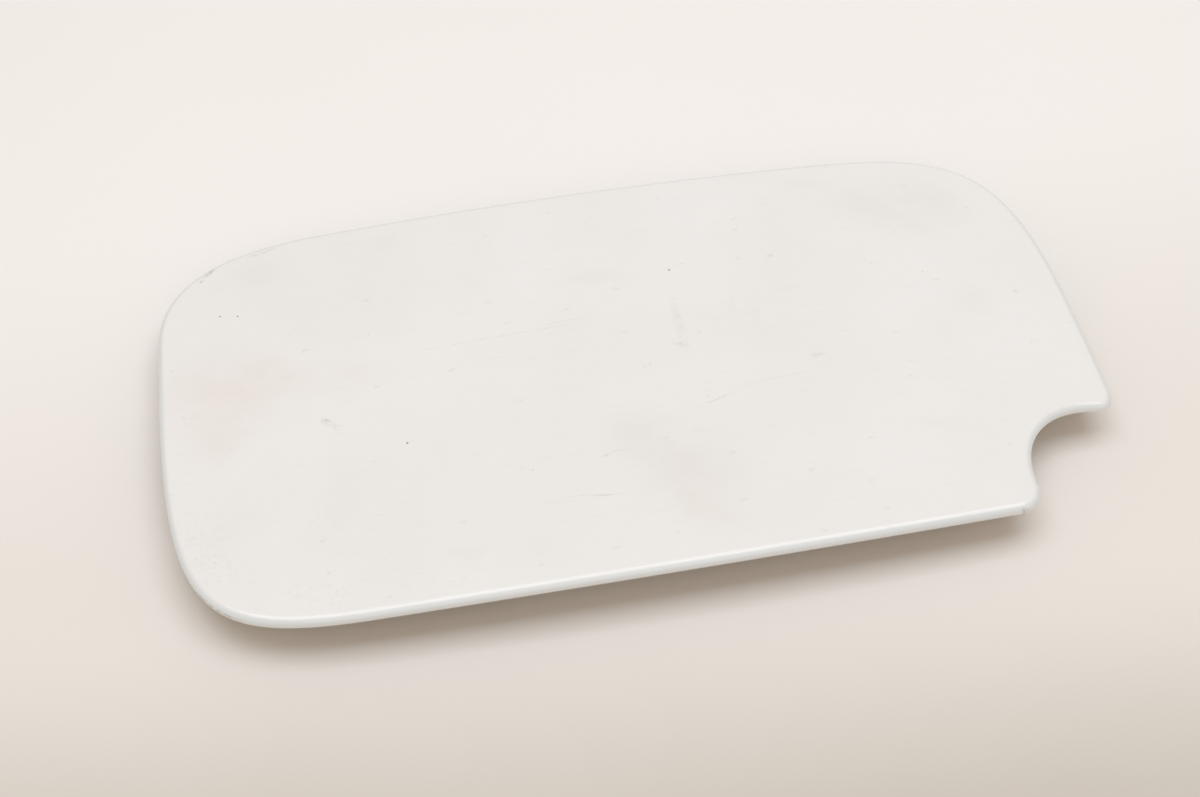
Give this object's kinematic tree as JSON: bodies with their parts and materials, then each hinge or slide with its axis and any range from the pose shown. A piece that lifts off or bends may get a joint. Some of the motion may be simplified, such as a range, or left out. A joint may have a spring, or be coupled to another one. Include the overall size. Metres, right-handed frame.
{
  "type": "car fuel door",
  "caption": "White pressed steel fuel door: double-crowned face, hemmed edge round a finger notch, inner panel with rubber buffers, on a sprung hinge with a screw-on body plate.",
  "frame": {"origin": "midway between the two body screw holes, on the face of the body plate that seats on the car", "axes": "+X along the door from its hinge end to its free end with the notch, +Y across the door to its long side without the notch, +Z out of the car, through the painted face"},
  "size_m": [0.2357, 0.1252, 0.0165],
  "materials": {
    "door_paint": "gloss white paint with light stains and small chips",
    "zinc_plate": "dulled zinc plating",
    "fastener_steel": "plated steel",
    "spring_steel": "dark spring wire",
    "nylon": "natural nylon",
    "rubber": "matt black rubber",
    "mastic": "grey mastic"
  },
  "bodies": {
    "body_side": {"hinge_plate": "zinc_plate", "hinge_pin": "fastener_steel", "pin_clip": "fastener_steel", "return_spring": "spring_steel"},
    "door": {"outer_skin": "door_paint", "inner_panel": "door_paint", "hinge_leaf": "zinc_plate", "leaf_washer_1": "zinc_plate", "leaf_washer_2": "zinc_plate", "leaf_washer_3": "zinc_plate", "leaf_screw_1": "fastener_steel", "leaf_screw_2": "fastener_steel", "leaf_screw_3": "fastener_steel", "weld_nut_1": "fastener_steel", "weld_nut_2": "fastener_steel", "weld_nut_3": "fastener_steel", "pin_bush_near": "nylon", "pin_bush_far": "nylon", "rubber_buffer_1": "rubber", "rubber_buffer_2": "rubber", "rubber_buffer_3": "rubber", "rubber_buffer_4": "rubber", "mastic_pad_1": "mastic", "mastic_pad_2": "mastic"}
  },
  "joints": [
    {"name": "door_hinge", "type": "hinge", "parent": "body_side", "child": "door", "pos_m": [-0.036, 0, 0.0046], "axis": [0, -1, 0], "range_deg": [0, 95], "stiffness_Nm_per_rad": 0.12, "springref_deg": -28.65, "deforming": ["return_spring"]}
  ]
}
